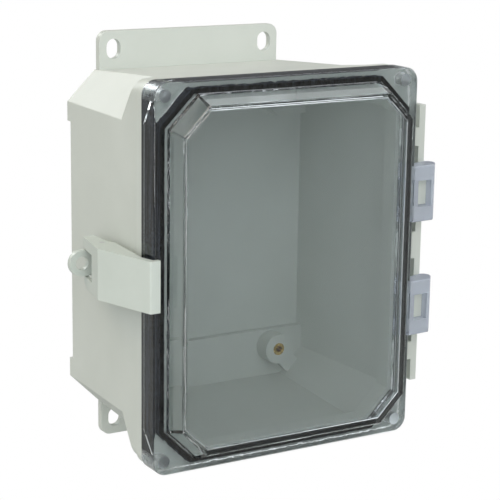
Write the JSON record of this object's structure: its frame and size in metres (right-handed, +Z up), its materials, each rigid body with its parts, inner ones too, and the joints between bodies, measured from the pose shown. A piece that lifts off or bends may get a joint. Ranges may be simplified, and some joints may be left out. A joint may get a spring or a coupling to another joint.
{
  "type": "hinged wall enclosure",
  "caption": "Moulded wall-mounted electrical enclosure with a clear hinged cover, a raised octagonal window, a black gasket, a draw latch with padlock ring and slotted mounting feet.",
  "frame": {"origin": "on the mounting plane (the back of the feet), midway between the four wall slots", "axes": "+X to the hinge side (right, seen from the front), +Y back into the wall, +Z up; the cover faces -Y"},
  "size_m": [0.2124, 0.1335, 0.2504],
  "materials": {
    "moulded_body": "light grey moulded glass-fibre plastic, fine satin texture",
    "moulded_latch": "light grey moulded plastic, smooth satin",
    "clear_plastic": "clear polycarbonate, polished",
    "seal_rubber": "black foam rubber",
    "insert_brass": "plain brass",
    "pin_steel": "stainless steel"
  },
  "bodies": {
    "enclosure": {"enclosure_body": "moulded_body", "insert_upper_left": "insert_brass", "insert_upper_right": "insert_brass", "insert_lower_left": "insert_brass", "insert_lower_right": "insert_brass", "latch_bracket": "moulded_latch", "bracket_screws": "pin_steel", "link_pin": "pin_steel"},
    "cover": {"cover": "clear_plastic", "gasket": "seal_rubber", "hinge_pin_upper": "pin_steel", "hinge_pin_lower": "pin_steel"},
    "latch_link": {"latch_link": "moulded_latch"},
    "latch_lever": {"latch_lever": "moulded_latch", "lever_pin": "pin_steel"}
  },
  "joints": [
    {"name": "cover_hinge", "type": "hinge", "parent": "enclosure", "child": "cover", "pos_m": [0.1025, -0.1111, 0], "axis": [0, 0, 1], "range_deg": [0, 115]},
    {"name": "latch_link_hinge", "type": "hinge", "parent": "enclosure", "child": "latch_link", "pos_m": [-0.09, -0.0938, 0], "axis": [0, 0, 1], "range_deg": [0, 95]},
    {"name": "latch_lever_hinge", "type": "hinge", "parent": "latch_link", "child": "latch_lever", "pos_m": [-0.0923, -0.0698, 0], "axis": [0, 0, 1], "range_deg": [-95, 0]}
  ],
  "couplings": [
    {"joint": "latch_lever_hinge", "follows": "latch_link_hinge", "ratio": -1}
  ]
}
